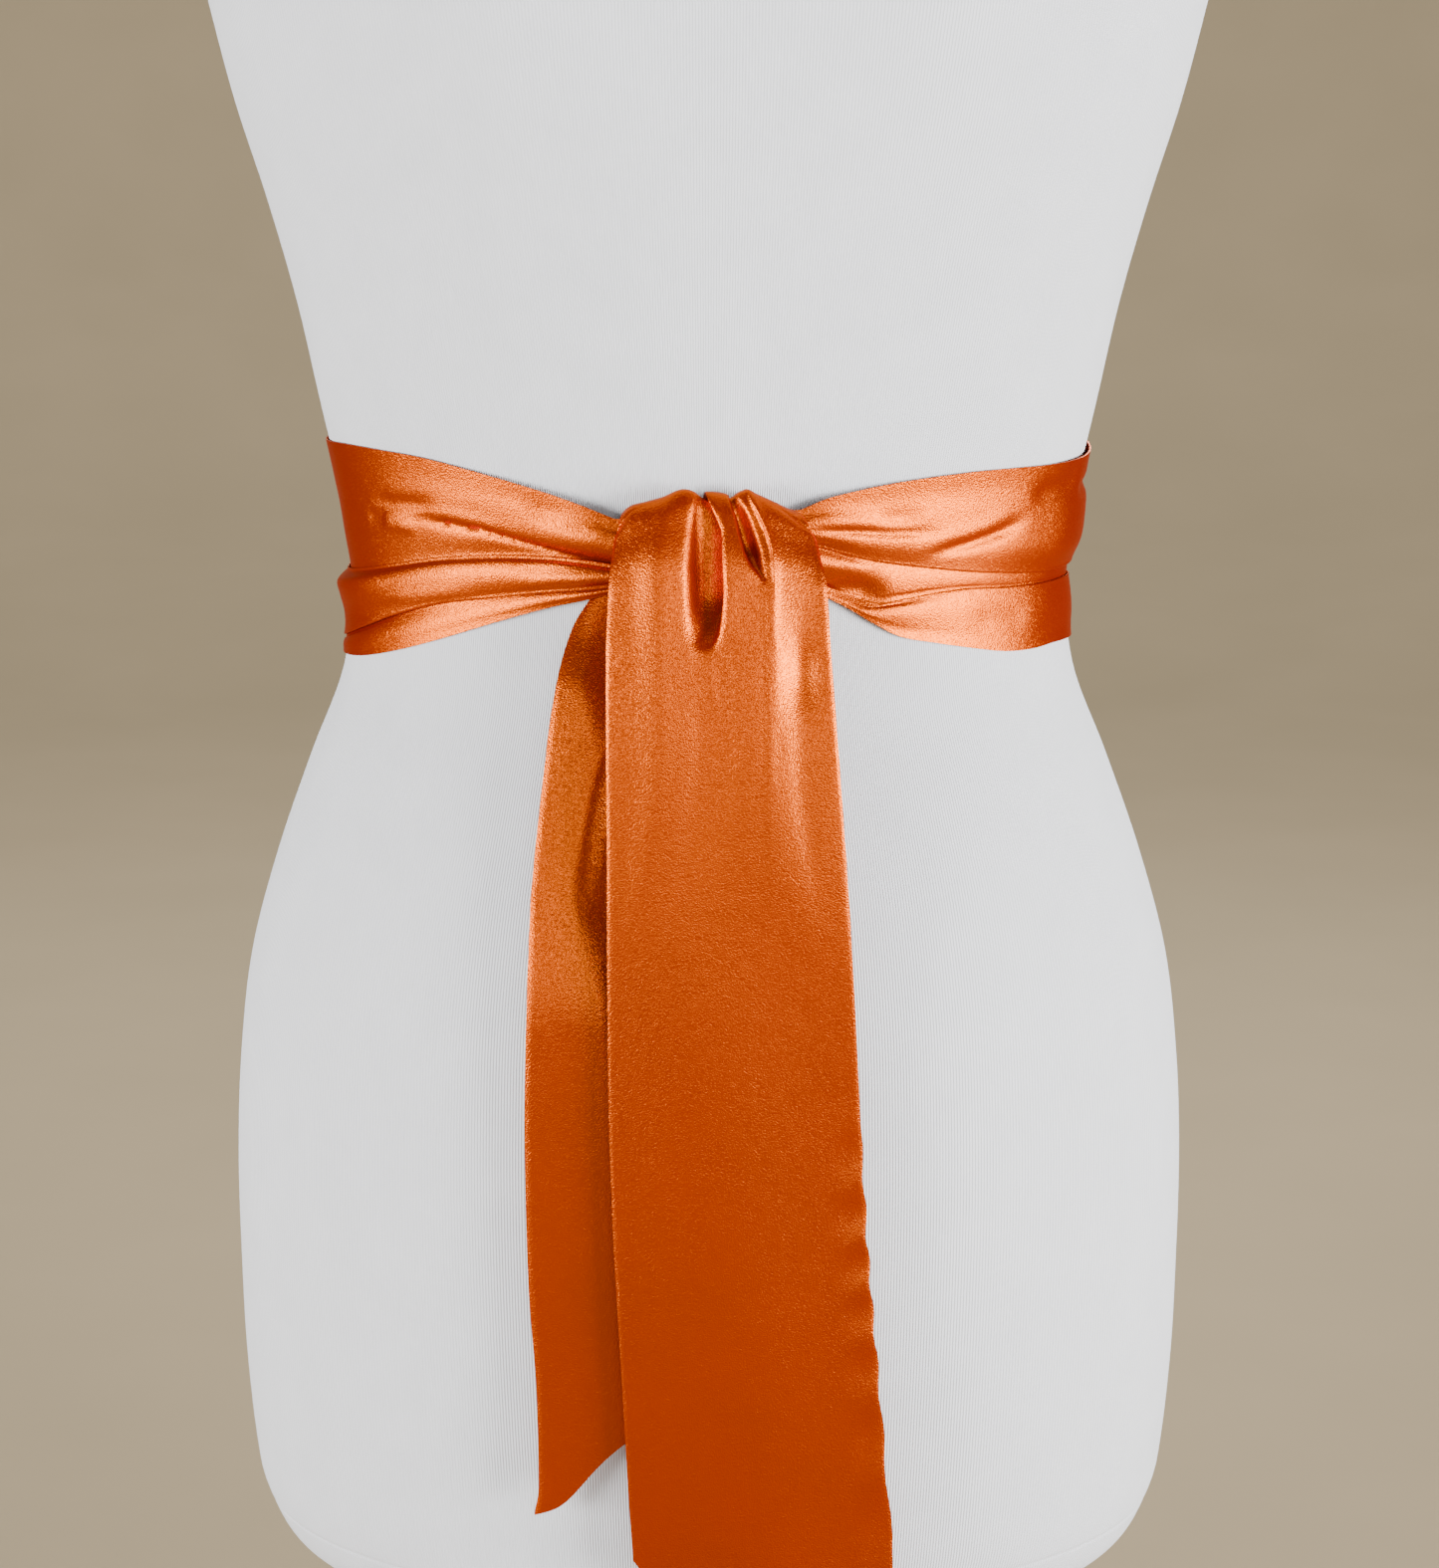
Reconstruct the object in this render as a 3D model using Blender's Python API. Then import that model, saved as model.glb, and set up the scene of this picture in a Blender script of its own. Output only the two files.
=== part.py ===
"""Satin sash tied round the waist of a limbless dress form on a short stem and a round base.

The front of the form faces -Y, the viewer's left is -X and the base stands on z = 0.
Tables are in millimetres and degrees. Their heights are measured from the waist, up.
"""
import bisect
import math

import bpy

MM = 0.001

# Driving sizes, in millimetres
WAIST_HEIGHT = 460.0
CLOTH = 1.2
FORM_GAP = 0.5
SEAM_GAP = 0.3
BASE_RADIUS = 150.0
BASE_THICK = 16.0
BASE_EDGE = 3.0
BASE_FOOT_EDGE = 1.0
STEM_RADIUS = 14.0
COLLAR_RADIUS = 32.0
COLLAR_THICK = 10.0
COLLAR_EDGE = 3.0
FORM_UNDERSIDE = -351.0
FORM_TOP = 440.0
NECK_CAP_RISE = 14.0
NECK_CAP_OVERLAP = 1.0
KNOT_TURN = 13.0
SIDE_TURN = 90.0
FULL_TURN = 360.0
HEM_SLOPE = 0.80

# Shares of the neck cap's width and of its rise, from its rim to its top
NECK_CAP_PROFILE = ((.97, 0), (1, .15), (1, .4), (.96, .58), (.8, .76), (.5, .92), (.15, 1))

# How finely the meshes are cut
FORM_SEGMENTS = 36
ROUND_SEGMENTS = 48
STEM_SEGMENTS = 32
KNOT_SEGMENTS = 20
WAIST_ZONE = 110.0
WAIST_RING_STEP = 18.0
SHARP_ANGLE = 40.0
SIDE_STATIONS = 20
BACK_STATIONS = 28


class Table:
    """Rows of numbers under named columns, read along smooth curves. The first column is the key."""

    def __init__(self, names, rows):
        self.keys = [row[0] for row in rows]
        self.columns = {name: [row[i] for row in rows] for i, name in enumerate(names.split())}

    def slope(self, values, i):
        first = max(i - 1, 0)
        last = min(i + 1, len(values) - 1)
        return (values[last] - values[first]) / (self.keys[last] - self.keys[first])

    def at(self, key, name):
        keys = self.keys
        values = self.columns[name]
        key = min(max(key, keys[0]), keys[-1])
        i = min(max(bisect.bisect_right(keys, key) - 1, 0), len(keys) - 2)
        span = keys[i + 1] - keys[i]
        u = (key - keys[i]) / span
        start = self.slope(values, i) * span
        end = self.slope(values, i + 1) * span
        rise = values[i + 1] - values[i]
        return values[i] + u * (start + u * (3 * rise - 2 * start - end + u * (start + end - 2 * rise)))


# The form's level sections: half width, and reach to the front and to the back of its axis
FORM = Table("z half front back", (
    (-351, 141, 90, 96),
    (-348, 148, 97, 103),
    (-341, 156, 103, 110),
    (-329, 162, 108, 116),
    (-317, 165.5, 110.5, 118.5),
    (-278, 169, 114, 123),
    (-240, 170, 116.5, 126),
    (-200, 170, 118, 127),
    (-164, 168, 118, 125),
    (-126, 163, 116, 119),
    (-90, 153, 110, 108),
    (-54, 140, 100, 92),
    (-25, 128.5, 92, 80),
    (0, 124.5, 88.5, 75),
    (15, 124, 88, 74),
    (35, 126.5, 89.5, 75),
    (56, 131, 93, 78),
    (70, 134, 96, 80),
    (104, 141, 104, 87),
    (138, 150, 112, 93),
    (171, 160, 119, 97),
    (204, 168, 122, 99),
    (222, 171.8, 121, 99.7),
    (240, 175, 118, 100),
    (260, 178, 113.6, 99.7),
    (280, 180, 108, 99),
    (315, 181, 94, 94),
    (340, 175, 80, 86),
    (360, 155, 66, 76),
    (376, 122, 57, 68),
    (388, 88, 52, 62),
    (400, 66, 49, 57),
    (415, 56, 47, 53),
    (440, 53, 46, 51),
))
BUST_HEIGHT = 232.0
BUST_APART = 74.0
BUST_WIDE = 44.0
BUST_TALL = 55.0
BUST_REACH = 10.0

# The waist loop, from the knot round the viewer's left, the back and the viewer's right.
# Two crease lines part it into three strips. Each strip's crown stands out by its roll,
# at the share of the strip's height given by its peak, and the whole stands out by the lift.
LOOP_COLUMNS = "turn bottom low high top low_roll mid_roll top_roll low_peak mid_peak top_peak lift"
LOOP = Table(LOOP_COLUMNS, (
    (13, 16.5, 18.8, 25.4, 43.9, 1.5, 3.2, 4.5, .5, .5, .45, 3.0),
    (18, 13.6, 17.4, 26.8, 47.2, 1.4, 3.4, 4.0, .5, .5, .45, 2.9),
    (24, 10.4, 15.9, 27.6, 50.1, 1.3, 3.0, 3.2, .5, .5, .45, 2.1),
    (33, 4.6, 13.0, 27.0, 53.8, 1.2, 2.6, 2.3, .5, .5, .42, 0.9),
    (45, -3.4, 8.8, 24.2, 57.3, 1.3, 2.5, 1.8, .5, .5, .4, 0.1),
    (56, -9.6, 3.0, 20.2, 58.4, 1.5, 2.8, 1.4, .5, .5, .4, 0),
    (67, -14.1, -3.8, 16.4, 58.4, 1.7, 3.2, 1.2, .5, .6, .4, 0),
    (90, -18.0, -12.0, 12.0, 56.6, 1.2, 3.2, 1.2, .5, .65, .45, 0),
    (120, -21.0, -12.0, 14.5, 58.0, 1.3, 2.8, 2.0, .5, .6, .35, 0),
    (150, -22.5, -6.5, 20.0, 60.5, 1.6, 2.0, 1.6, .5, .55, .5, 0),
    (180, -22.5, 0.5, 25.0, 62.0, 1.4, 2.3, 2.2, .5, .5, .35, 0),
    (210, -21.0, 4.0, 24.0, 61.0, 1.8, 1.8, 2.0, .5, .5, .4, 0),
    (240, -17.0, 6.5, 19.0, 57.5, 1.4, 1.5, 2.8, .5, .5, .35, 0),
    (270, -12.5, 9.8, 15.6, 53.8, 1.2, 0.8, 3.4, .55, .5, .36, 0),
    (292, -10.0, 11.4, 15.6, 52.5, 1.1, 0.7, 3.6, .6, .5, .34, 0),
    (300, -10.0, 11.9, 16.4, 52.6, 1.2, 0.7, 3.0, .6, .5, .32, 0),
    (308, -9.0, 12.7, 17.9, 53.0, 1.3, 0.8, 2.6, .6, .5, .3, 0),
    (317, -5.8, 13.9, 20.0, 53.2, 1.4, 0.8, 2.4, .6, .5, .3, 0.1),
    (324, -2.9, 13.5, 22.0, 52.7, 1.6, 1.0, 2.4, .6, .5, .3, 0.4),
    (330, 0, 12.4, 24.0, 51.8, 1.8, 1.4, 2.6, .6, .5, .32, 0.8),
    (335, 5.4, 11.6, 26.0, 50.6, 1.4, 2.0, 3.0, .5, .5, .35, 1.3),
    (339, 10.6, 13.4, 28.2, 49.2, 0.6, 2.6, 3.4, .5, .5, .38, 1.8),
    (343, 15.0, 17.0, 30.8, 47.4, 0.5, 3.0, 4.0, .5, .5, .4, 2.4),
    (347, 17.5, 19.4, 33.2, 43.9, 0.5, 3.4, 4.2, .5, .5, .45, 2.8),
))
STRIPS = (("bottom", "low"), ("low", "high"), ("high", "top"))
STRIP_ROLLS = (("low_roll", "low_peak"), ("mid_roll", "mid_peak"), ("top_roll", "top_peak"))
STRIP_SHARES = (0.0, 0.12, 0.35, 0.65, 0.88)

# The front tail, from its root behind the knot, up over it and down to its diagonal hem
FRONT_TAIL = Table("step y z left right pleat curl", (
    (0, -89.5, 21, -15, 16, 0, 0),
    (1, -90.3, 34, -18, 19, 0, 0),
    (2, -92.0, 43, -23, 24, .2, 0),
    (3, -95.6, 48.4, -27, 29, .6, 1),
    (4, -101.2, 50, -28.6, 32.5, 1, 2.5),
    (5, -106.4, 47, -29.4, 34.3, 1, 4),
    (6, -110.2, 40.5, -30.2, 35.6, 1, 5),
    (7, -113.2, 30, -31.0, 37.2, 1, 5),
    (8, -115.9, 15, -31.8, 38.6, 1, 4),
    (9, -118.4, 0, -32.3, 39.5, 1, 3),
    (10, -122.7, -30, -32.3, 41.8, 1, 2),
    (11, -125.8, -68, -32.2, 44.7, 1, 1.5),
    (12, -127.6, -108, -32.3, 47.3, 1, 1),
    (13, -128.6, -150, -32.0, 49.6, 1, 1),
    (14, -129.1, -195, -30.7, 52.4, 1, 1),
    (15, -129.1, -240, -28.4, 57.0, 1, 1),
    (16, -128.3, -281, -26.5, 61.5, 1, 1),
    (17, -127.3, -305, -25.0, 65.0, 1, 1),
))
FRONT_STEPS = ((0, 3, 3), (3, 7, 12), (7, 9, 7), (9, 17, 13))
FRONT_SHARES = (
    0, .05, .12, .2, .27, .33, .38, .42, .46, .5, .54, .58, .62, .655, .69, .72, .76, .81, .87, .94, 1,
)
FRONT_HEM_FROM = 14
CREST_STEP = 4.3
CREST_REACH = 3.2
CREST_PLEATS_TO = 4
CREST_TOP = 50
LOOK_AHEAD = 0.05

# The rise and fall of the front tail's crest across its width
CREST = Table("x rise", (
    (-32, -14), (-29, -8.5), (-25.6, -4.2), (-22, -2.4), (-14, -1.8), (-8, 1.6), (-3, .4), (3, -.4),
    (7, -.4), (11, 1.2), (17, -1.2), (23, -3.6), (29, -6), (33, -9.5), (36, -14),
))

# Pleats of the front tail by height: the deep valley, the short tuck and the ridges beside them
VALLEY = Table("z x depth", (
    (-8, -.4, 0), (2, -.4, 1.2), (9, .2, 5), (18, .4, 7.4), (30, .4, 8), (40, 0, 7), (46, -.6, 4.6),
    (52, -1.5, 1.6),
))
TUCK = Table("z x depth", (
    (20, 18.6, 0), (25, 18.3, 1), (30, 17, 3.4), (36, 14.6, 4.6), (45, 11.0, 3.8), (52, 8.4, 1.4),
))
RIDGE_RIGHT = Table("z x rise", (
    (-45, 24, 0), (-15, 22.8, .8), (0, 22.3, 1.6), (24, 21.2, 2.2), (38, 20, 1.2), (52, 17, .4),
))
RIDGE_LEFT = Table("z x rise", (
    (-30, -10, 0), (5, -11, 1), (24, -12, 2), (40, -12.4, 1.6), (52, -10, .5),
))
VALLEY_SOFT_SIDE = 4.6
VALLEY_SHARP_SIDE = 2.4
TUCK_HALF = 1.9
RIDGE_HALF = 3.2
RIDGE_LEFT_HALF = 5.1

# The rear tail: its edges, how far it hangs from the form's axis, and its lengthwise fold
REAR_TAIL = Table("z left right hang fold_x fold_depth", (
    (-290, -56.6, 18, -121.4, -40, 0),
    (-247, -57.0, 16, -121.6, -40, 1),
    (-211, -59.2, 14, -121.8, -38, 1.5),
    (-160, -59.9, 10, -121.9, -34, 2),
    (-127, -59.2, 7, -121.4, -31, 3),
    (-104, -58.4, 4, -118.6, -32, 4.5),
    (-78, -57.2, 1, -112.4, -38, 6),
    (-46, -53.8, -3, -106, -33, 6),
    (-14, -49.4, -8, -99, -30, 4),
    (5, -43.9, -12, -91, -32, 2),
    (16, -36.8, -17, -88, -28, 0),
    (23, -32, -19, -87, -25, 0),
))
REAR_ROWS = 26
REAR_SHARES = (0, .07, .15, .24, .33, .42, .52, .63, .75, .88, 1)
REAR_FOLD_HALF = 6.0
REAR_TIP = -289.0
REAR_HEM_FROM = -190.0
REAR_SLANT = 2.5
REAR_EDGE_CURL = 3.0
REST_CLEAR = 0.3

# The bound core of the knot: centre and half sizes of its upright sections, from left to right
KNOT = Table("x y half_y z half_z", (
    (-26.5, -95, 2.6, 28.5, 9),
    (-24, -96, 4.0, 28.8, 11.5),
    (-14, -97.6, 5.0, 29.4, 14),
    (0, -97.2, 4.6, 30, 14.5),
    (14, -97.6, 4.8, 30.5, 13),
    (25, -96.0, 4.0, 30.5, 10),
    (27.5, -95.2, 2.8, 30, 8),
))
KNOT_STATIONS = 13


def clear_scene():
    for old in list(bpy.data.objects):
        bpy.data.objects.remove(old, do_unlink=True)


def make_material(name, colour, roughness, metallic=0.0):
    material = bpy.data.materials.new(name)
    material.use_nodes = True
    shader = material.node_tree.nodes["Principled BSDF"]
    shader.inputs["Base Color"].default_value = (*colour, 1.0)
    shader.inputs["Roughness"].default_value = roughness
    shader.inputs["Metallic"].default_value = metallic
    return material


def make_object(name, points, faces, material):
    """A smooth-shaded mesh from points given in millimetres with heights from the waist."""
    mesh = bpy.data.meshes.new(name)
    placed = [(x * MM, y * MM, (z + WAIST_HEIGHT) * MM) for x, y, z in points]
    mesh.from_pydata(placed, [], faces)
    mesh.materials.append(material)
    mesh.shade_smooth()
    mesh.set_sharp_from_angle(angle=math.radians(SHARP_ANGLE))
    made = bpy.data.objects.new(name, mesh)
    bpy.context.scene.collection.objects.link(made)
    return made


def make_wall(name, grid, material):
    """Cloth of even thickness behind a grid of points whose faces look outwards."""
    columns = len(grid[0])
    faces = []
    for row in range(len(grid) - 1):
        for column in range(columns - 1):
            corner = row * columns + column
            faces.append((corner, corner + columns, corner + columns + 1, corner + 1))
    made = make_object(name, [point for row in grid for point in row], faces, material)
    thicken = made.modifiers.new("cloth", "SOLIDIFY")
    thicken.thickness = CLOTH * MM
    thicken.offset = -1.0
    return made


def make_loft(name, rings, material):
    """A closed body through rings of points that run anticlockwise seen from the last ring."""
    count = len(rings[0])
    faces = [tuple(reversed(range(count)))]
    for ring in range(len(rings) - 1):
        for i in range(count):
            j = (i + 1) % count
            low = ring * count
            faces.append((low + i, low + j, low + count + j, low + count + i))
    faces.append(tuple(range((len(rings) - 1) * count, len(rings) * count)))
    return make_object(name, [point for ring in rings for point in ring], faces, material)


def spread(start, stop, count):
    return [start + (stop - start) * i / (count - 1) for i in range(count)]


def bell(distance, half):
    return math.exp(-((distance / half) ** 2))


def form_reach(x, z):
    """How far the form's front stands out of its axis at a place across it."""
    across = min(abs(x) / FORM.at(z, "half"), 1.0)
    return FORM.at(z, "front") * math.sqrt(1.0 - across * across)


def form_point(turn, z, out):
    """A point outside the form, turned from the front towards the viewer's left."""
    angle = math.radians(turn)
    reach = FORM.at(z, "front" if math.cos(angle) > 0 else "back")
    x = -(FORM.at(z, "half") + out) * math.sin(angle)
    return x, -(reach + out) * math.cos(angle), z


def form_ring(z):
    ring = []
    for i in range(FORM_SEGMENTS):
        x, y, z = form_point(-FULL_TURN * i / FORM_SEGMENTS, z, 0.0)
        if y < 0:
            y -= BUST_REACH * bell(abs(x) - BUST_APART, BUST_WIDE) * bell(z - BUST_HEIGHT, BUST_TALL)
        ring.append((x, y, z))
    return ring


def form_heights():
    """The table's own heights, with two more rings in each stretch at the waist."""
    heights = []
    for low, high in zip(FORM.keys, FORM.keys[1:]):
        steps = 2 if abs(low) < WAIST_ZONE and high - low > WAIST_RING_STEP else 1
        heights += [low + (high - low) * i / steps for i in range(steps)]
    return heights + [FORM_TOP]


def turned_rings(profile, segments):
    """Rings of a turned body about the upright axis, from rows of radius and height."""
    rings = []
    for radius, z in profile:
        angles = [2 * math.pi * i / segments for i in range(segments)]
        rings.append([(radius * math.cos(a), radius * math.sin(a), z) for a in angles])
    return rings


def build_form(jersey):
    return make_loft("dress_form", [form_ring(z) for z in form_heights()], jersey)


def build_neck_cap(wood):
    """A low dome with a rounded rim, standing on the neck."""
    start = FORM_TOP + SEAM_GAP
    wide = FORM.at(FORM_TOP, "half") + NECK_CAP_OVERLAP
    deep = (FORM.at(FORM_TOP, "front") + FORM.at(FORM_TOP, "back")) / 2 + NECK_CAP_OVERLAP
    middle = (FORM.at(FORM_TOP, "back") - FORM.at(FORM_TOP, "front")) / 2
    rings = []
    for share, rise in NECK_CAP_PROFILE:
        angles = [2 * math.pi * i / FORM_SEGMENTS for i in range(FORM_SEGMENTS)]
        z = start + NECK_CAP_RISE * rise
        rings.append([(share * wide * math.cos(a), middle + share * deep * math.sin(a), z) for a in angles])
    return make_loft("neck_cap", rings, wood)


def build_stand(paint, steel):
    floor = -WAIST_HEIGHT
    top = floor + BASE_THICK
    rim = BASE_RADIUS
    base_profile = (
        (rim - BASE_FOOT_EDGE, floor),
        (rim, floor + BASE_FOOT_EDGE),
        (rim, top - BASE_EDGE),
        (rim - 0.3 * BASE_EDGE, top - 0.3 * BASE_EDGE),
        (rim - BASE_EDGE, top),
    )
    make_loft("stand_base", turned_rings(base_profile, ROUND_SEGMENTS), paint)
    foot = top + SEAM_GAP
    head = FORM_UNDERSIDE - SEAM_GAP
    stem_profile = (
        (COLLAR_RADIUS, foot),
        (COLLAR_RADIUS, foot + COLLAR_THICK - COLLAR_EDGE),
        (COLLAR_RADIUS - COLLAR_EDGE, foot + COLLAR_THICK),
        (STEM_RADIUS, foot + COLLAR_THICK),
        (STEM_RADIUS, head - COLLAR_THICK),
        (COLLAR_RADIUS - COLLAR_EDGE, head - COLLAR_THICK),
        (COLLAR_RADIUS, head - COLLAR_THICK + COLLAR_EDGE),
        (COLLAR_RADIUS, head),
    )
    make_loft("stand_stem", turned_rings(stem_profile, STEM_SEGMENTS), steel)


def strip_bump(share, peak):
    """A rounded crown over a strip, highest at the share given by peak."""
    return math.sin(math.pi * share ** (math.log(0.5) / math.log(peak))) if share > 0 else 0.0


def loop_section(turn):
    """One upright section of the waist loop, from its bottom edge to its top edge."""
    base = CLOTH + FORM_GAP + LOOP.at(turn, "lift")
    section = []
    for (low, high), (roll, peak) in zip(STRIPS, STRIP_ROLLS):
        start = LOOP.at(turn, low)
        height = LOOP.at(turn, high) - start
        for share in STRIP_SHARES:
            out = base + LOOP.at(turn, roll) * strip_bump(share, LOOP.at(turn, peak))
            section.append(form_point(turn, start + share * height, out))
    section.append(form_point(turn, LOOP.at(turn, "top"), base))
    return section


def build_loop(satin):
    """The loop as the stretches that show: viewer's left, back and viewer's right."""
    half_gap = math.degrees(SEAM_GAP / 2 / FORM.at(0, "half"))
    far_side = FULL_TURN - SIDE_TURN
    stretches = (
        ("sash_band_left", KNOT_TURN, SIDE_TURN - half_gap, SIDE_STATIONS),
        ("sash_band_back", SIDE_TURN + half_gap, far_side - half_gap, BACK_STATIONS),
        ("sash_band_right", far_side + half_gap, FULL_TURN - KNOT_TURN, SIDE_STATIONS),
    )
    for name, start, stop, count in stretches:
        sections = [loop_section(turn) for turn in spread(start, stop, count)]
        make_wall(name, [list(reversed(section)) for section in sections], satin)


def build_knot(satin):
    """The hidden turns of the knot as one rounded core between the two ends of the loop."""
    rings = []
    for x in spread(KNOT.keys[0], KNOT.keys[-1], KNOT_STATIONS):
        ring = []
        for i in range(KNOT_SEGMENTS):
            angle = 2 * math.pi * i / KNOT_SEGMENTS
            y = KNOT.at(x, "y") + KNOT.at(x, "half_y") * math.cos(angle)
            z = KNOT.at(x, "z") + KNOT.at(x, "half_z") * math.sin(angle)
            ring.append((x, y, z))
        rings.append(ring)
    make_loft("sash_knot", rings, satin)


def front_pleat(x, z):
    """How far the front tail's face is pushed in at a place, less where a ridge stands out."""
    aside = x - VALLEY.at(z, "x")
    side = VALLEY_SHARP_SIDE if aside > 0 else VALLEY_SOFT_SIDE
    push = VALLEY.at(z, "depth") * bell(aside, side)
    push += TUCK.at(z, "depth") * bell(x - TUCK.at(z, "x"), TUCK_HALF)
    push -= RIDGE_RIGHT.at(z, "rise") * bell(x - RIDGE_RIGHT.at(z, "x"), RIDGE_HALF)
    push -= RIDGE_LEFT.at(z, "rise") * bell(x - RIDGE_LEFT.at(z, "x"), RIDGE_LEFT_HALF)
    return push


def front_tail_row(step):
    """One row across the front tail, at a step along its path over the knot and down."""
    y = FRONT_TAIL.at(step, "y")
    z = FRONT_TAIL.at(step, "z")
    ahead = min(step + LOOK_AHEAD, FRONT_TAIL.keys[-1])
    behind = ahead - 2 * LOOK_AHEAD
    run_y = FRONT_TAIL.at(ahead, "y") - FRONT_TAIL.at(behind, "y")
    run_z = FRONT_TAIL.at(ahead, "z") - FRONT_TAIL.at(behind, "z")
    length = math.hypot(run_y, run_z)
    in_y = -run_z / length
    in_z = run_y / length
    crest = max(0.0, 1.0 - abs(step - CREST_STEP) / CREST_REACH)
    left = FRONT_TAIL.at(step, "left")
    width = FRONT_TAIL.at(step, "right") - left
    last = FRONT_TAIL.keys[-1]
    hem = max(0.0, (step - FRONT_HEM_FROM) / (last - FRONT_HEM_FROM)) ** 2
    row = []
    for share in FRONT_SHARES:
        x = left + share * width
        push = FRONT_TAIL.at(step, "pleat") * front_pleat(x, z if step > CREST_PLEATS_TO else CREST_TOP)
        push += FRONT_TAIL.at(step, "curl") * abs(2 * share - 1) ** 3
        drop = hem * HEM_SLOPE * share * width
        rise = CREST.at(x, "rise") * crest
        row.append((x, y + in_y * push, z + in_z * push + rise - drop))
    return row


def build_front_tail(satin):
    steps = []
    for start, stop, count in FRONT_STEPS:
        steps += spread(start, stop, count + 1)[:-1]
    steps.append(FRONT_TAIL.keys[-1])
    make_wall("sash_tail_front", [front_tail_row(step) for step in steps], satin)


def rear_tail_row(z):
    """One row across the rear tail, resting on the form or hanging clear of it."""
    left = REAR_TAIL.at(z, "left")
    width = REAR_TAIL.at(z, "right") - left
    hem = max(0.0, (REAR_HEM_FROM - z) / (REAR_HEM_FROM - REAR_TIP)) ** 2
    row = []
    for share in REAR_SHARES:
        x = left + share * width
        lifted = z + hem * HEM_SLOPE * share * width
        fold = REAR_TAIL.at(z, "fold_depth") * bell(x - REAR_TAIL.at(z, "fold_x"), REAR_FOLD_HALF)
        hang = REAR_TAIL.at(z, "hang") + fold + REAR_SLANT * share + REAR_EDGE_CURL * (1 - share) ** 3
        rest = -(form_reach(x, lifted) + CLOTH + FORM_GAP + REST_CLEAR)
        row.append((x, min(hang, rest), lifted))
    return row


def build_rear_tail(satin):
    heights = spread(REAR_TAIL.keys[-1], REAR_TIP, REAR_ROWS)
    make_wall("sash_tail_rear", [rear_tail_row(z) for z in heights], satin)


def main():
    clear_scene()
    satin = make_material("orange_satin", (0.90, 0.20, 0.03), 0.35)
    jersey = make_material("white_jersey", (0.80, 0.80, 0.82), 0.9)
    wood = make_material("pale_wood", (0.60, 0.42, 0.26), 0.5)
    paint = make_material("white_paint", (0.78, 0.78, 0.76), 0.4)
    steel = make_material("brushed_steel", (0.62, 0.62, 0.62), 0.35, 1.0)
    build_form(jersey)
    build_neck_cap(wood)
    build_stand(paint, steel)
    build_loop(satin)
    build_knot(satin)
    build_front_tail(satin)
    build_rear_tail(satin)


main()
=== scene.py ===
"""Looks of the satin sash and its dress form: cloth, jersey, stand, floor, lights and camera."""
import math

import bpy
import numpy as np
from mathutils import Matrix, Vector


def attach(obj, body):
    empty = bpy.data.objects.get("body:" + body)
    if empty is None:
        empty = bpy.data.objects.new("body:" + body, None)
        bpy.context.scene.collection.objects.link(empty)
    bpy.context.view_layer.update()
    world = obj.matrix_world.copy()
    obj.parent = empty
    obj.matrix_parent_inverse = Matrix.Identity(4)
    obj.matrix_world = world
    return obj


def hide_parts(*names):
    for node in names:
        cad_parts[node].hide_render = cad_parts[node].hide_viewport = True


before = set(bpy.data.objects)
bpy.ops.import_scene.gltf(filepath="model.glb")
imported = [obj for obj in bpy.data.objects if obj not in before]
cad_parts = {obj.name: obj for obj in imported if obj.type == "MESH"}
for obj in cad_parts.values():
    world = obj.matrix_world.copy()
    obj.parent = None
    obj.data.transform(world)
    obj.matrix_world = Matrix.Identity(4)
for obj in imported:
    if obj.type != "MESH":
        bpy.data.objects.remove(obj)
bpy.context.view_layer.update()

MM = 0.001

# Driving sizes shared with the solids, in millimetres; heights are measured from the waist, up
WAIST_HEIGHT = 460.0
FORM_UNDERSIDE = -351.0
FORM_TOP = 440.0
SEAM_HEIGHT = -329.0
HEM_SLOPE = 0.80
CORNER_ROUND = 1.6
CORNER_WIDE = 2.2

# Turns round the form in degrees, from the front towards the viewer's left
KNOT_TURN = 13.0
KNOT_OVERLAP = 1.5
SIDE_TURN = 90.0
SEAM_HALF_TURN = 0.02
FULL_TURN = 360.0

# Cloth of the finished look: its wall, the rise of each layer in a tuck, and how far it stands off
CLOTH = 0.5
LAYER = 0.85
CLOTH_EDGE_ANGLE = 60.0
LOOP_CLEAR = 1.0
LOOP_LEAST_CLEAR = 0.8
TUCK_DEEP = 4.5
TUCK_ROOM = 0.5
TUCK_SPREAD = 0.4
EDGE_LIFT = 0.35

# Least sizes that are divided by, and points on a section from one control point to the next
LEAST_STEP = 1e-4
LEAST_NORMAL = 1e-9
SECTION_STEPS = 5


def cubic(start, rise, first, last, u):
    """A smooth curve from start over a rise, whose slopes at its ends are first and last."""
    bend = 3 * rise - 2 * first - last
    twist = first + last - 2 * rise
    return start + u * (first + u * (bend + u * twist))


class Table:
    """Rows of numbers under named columns, read along smooth curves. The first column is the key."""

    def __init__(self, names, rows):
        self.keys = np.array([row[0] for row in rows], float)
        names = names.split()
        self.columns = {name: np.array([row[i] for row in rows], float) for i, name in enumerate(names)}

    def at(self, key, name):
        keys = self.keys
        values = self.columns[name]
        slopes = np.empty_like(values)
        slopes[1:-1] = (values[2:] - values[:-2]) / (keys[2:] - keys[:-2])
        slopes[0] = (values[1] - values[0]) / (keys[1] - keys[0])
        slopes[-1] = (values[-1] - values[-2]) / (keys[-1] - keys[-2])
        key = np.clip(key, keys[0], keys[-1])
        i = np.clip(np.searchsorted(keys, key, side="right") - 1, 0, len(keys) - 2)
        span = keys[i + 1] - keys[i]
        u = (key - keys[i]) / span
        rise = values[i + 1] - values[i]
        return cubic(values[i], rise, slopes[i] * span, slopes[i + 1] * span, u)


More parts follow.
